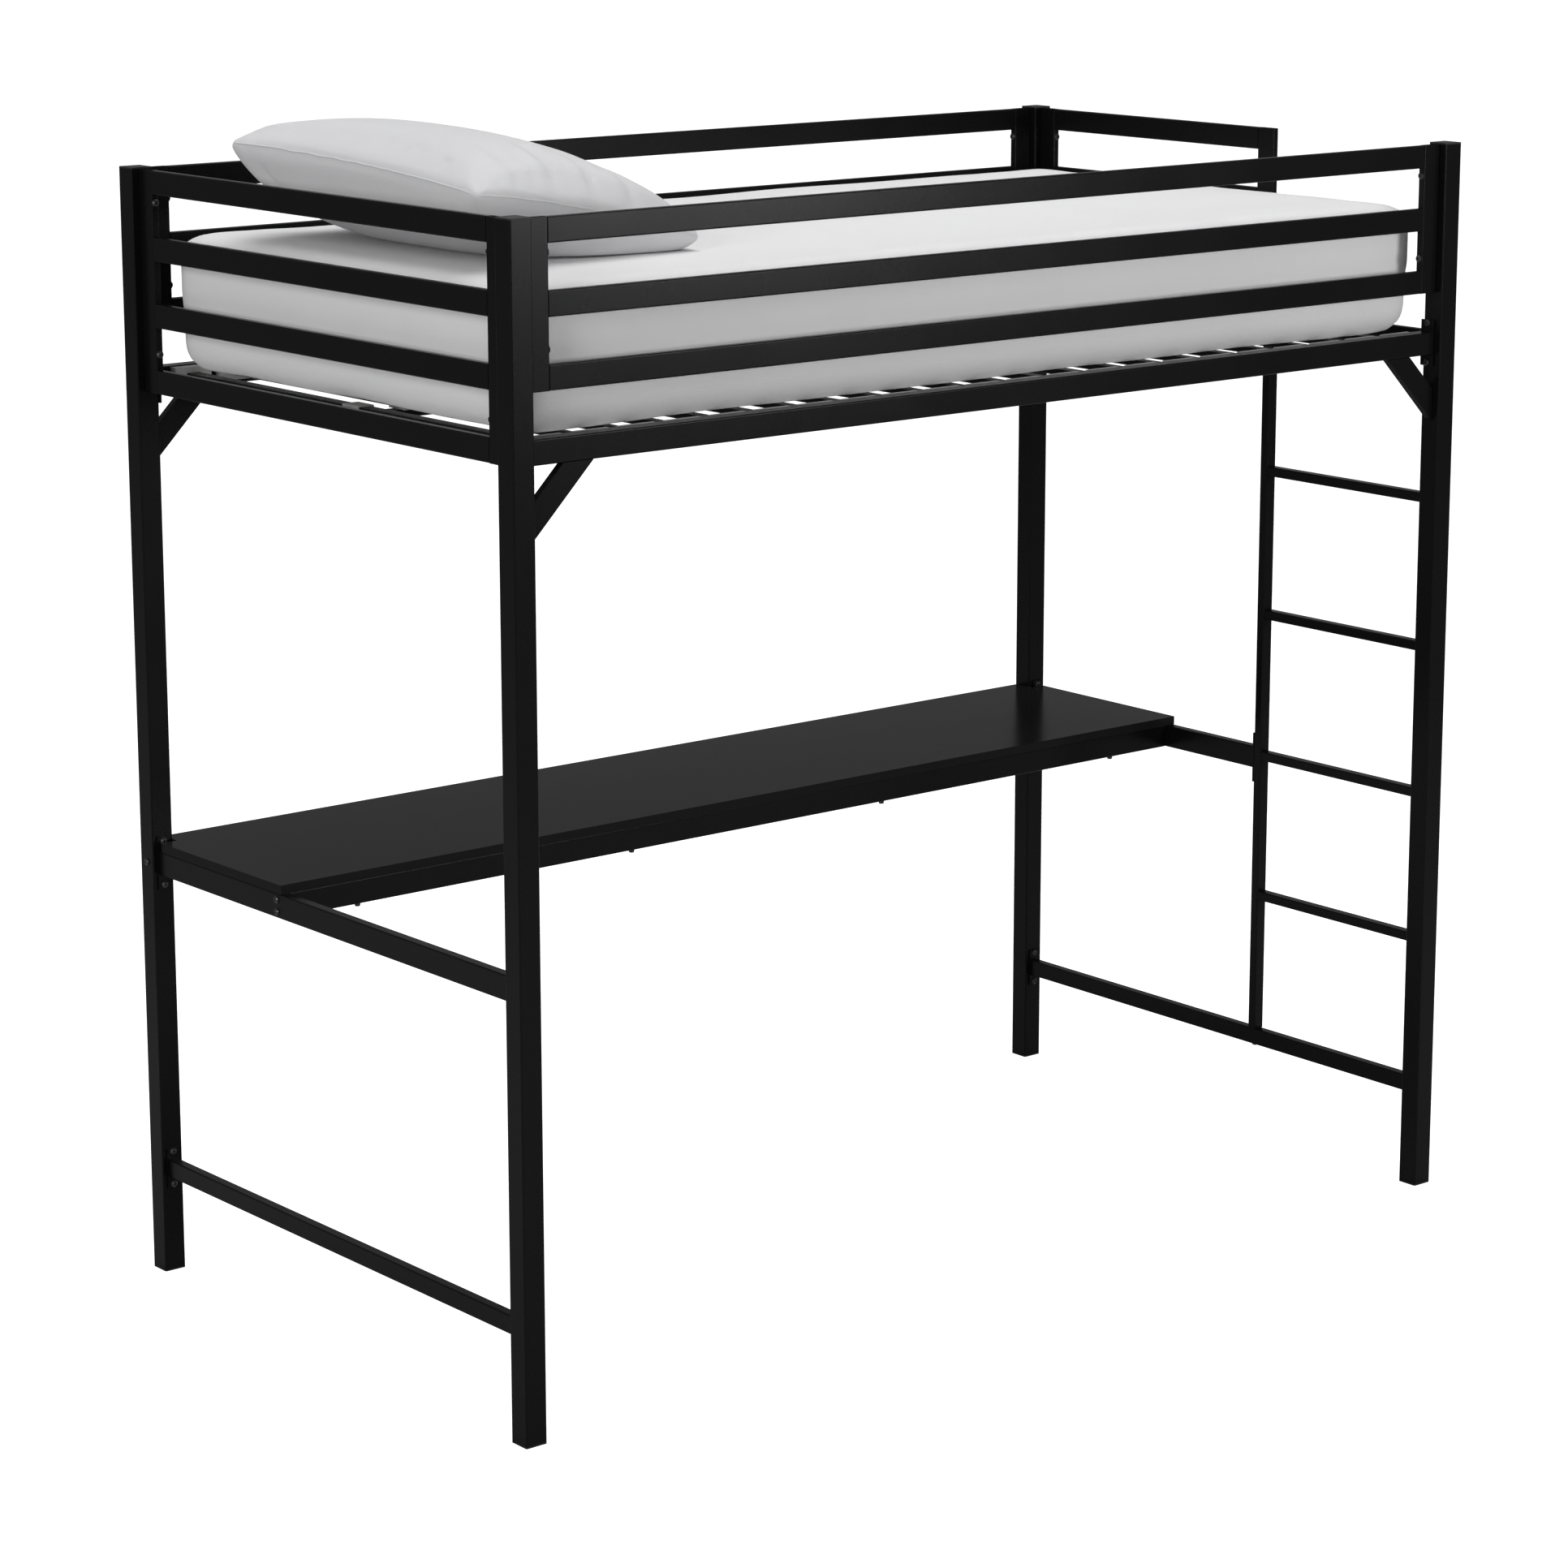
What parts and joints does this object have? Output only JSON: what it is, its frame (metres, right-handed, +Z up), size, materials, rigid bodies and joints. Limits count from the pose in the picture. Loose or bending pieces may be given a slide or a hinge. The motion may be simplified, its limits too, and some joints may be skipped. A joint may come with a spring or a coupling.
{
  "type": "loft bed with desk",
  "caption": "Black metal loft bed with a full-length desk under it, guard rails, a fixed end ladder, a mattress and a pillow.",
  "frame": {"origin": "on the floor under the middle of the bed", "axes": "+X towards the ladder end, +Y towards the desk's back edge, +Z up"},
  "size_m": [1.9754, 1.0542, 1.9228],
  "materials": {
    "black_frame": "satin black powder coat",
    "black_plastic": "plain moulded",
    "clear_plastic": "translucent moulded",
    "desk_board": "black laminate on particle board",
    "plated_steel": "zinc plated",
    "dark_bolts": "black coated button heads",
    "mattress_fabric": "white woven cover",
    "pillow_fabric": "white cotton case"
  },
  "bodies": {
    "frame": {"post_front_left": "black_frame", "post_back_left": "black_frame", "post_front_right": "black_frame", "post_back_right": "black_frame", "post_caps": "black_plastic", "post_feet": "black_plastic", "front_guard_rails": "black_frame", "front_stile_left": "black_frame", "front_stile_right": "black_frame", "back_guard_rails": "black_frame", "back_stile_left": "black_frame", "back_stile_right": "black_frame", "head_guard_rails": "black_frame", "head_stile_front": "black_frame", "head_stile_back": "black_frame", "foot_guard_rails": "black_frame", "foot_stile_free": "black_frame", "foot_stile_back": "black_frame", "deck_rail_front": "black_frame", "deck_rail_back": "black_frame", "deck_rail_head": "black_frame", "deck_rail_foot": "black_frame", "centre_beam": "black_frame", "slats": "black_frame", "slat_holders_front": "clear_plastic", "slat_holders_back": "clear_plastic", "slat_clips": "clear_plastic", "brace_front_left": "black_frame", "brace_front_right": "black_frame", "brace_back_left": "black_frame", "brace_back_right": "black_frame", "desk_top": "desk_board", "desk_front_rail": "black_frame", "desk_back_rail": "black_frame", "desk_head_rail": "black_frame", "desk_foot_rail": "black_frame", "low_rail_head": "black_frame", "low_rail_foot": "black_frame", "ladder_upright": "black_frame", "rung_1": "black_frame", "rung_2": "black_frame", "rung_3": "black_frame", "rung_4": "black_frame", "rung_pegs": "plated_steel", "threaded_blocks": "plated_steel", "rivet_nuts": "plated_steel", "guard_bolts": "dark_bolts", "deck_bolts": "dark_bolts", "desk_bolts": "dark_bolts", "low_rail_bolts": "dark_bolts", "ladder_bolts": "dark_bolts", "brace_screws": "dark_bolts", "desk_screws": "dark_bolts"},
    "mattress": {"mattress": "mattress_fabric"},
    "pillow": {"pillow": "pillow_fabric"}
  },
  "joints": [
    {"name": "mattress_lift", "type": "slide", "parent": "frame", "child": "mattress", "axis": [0, 0, 1], "range_m": [0, 0.36]},
    {"name": "pillow_lift", "type": "slide", "parent": "mattress", "child": "pillow", "axis": [0, 0, 1], "range_m": [0, 0.25]}
  ]
}
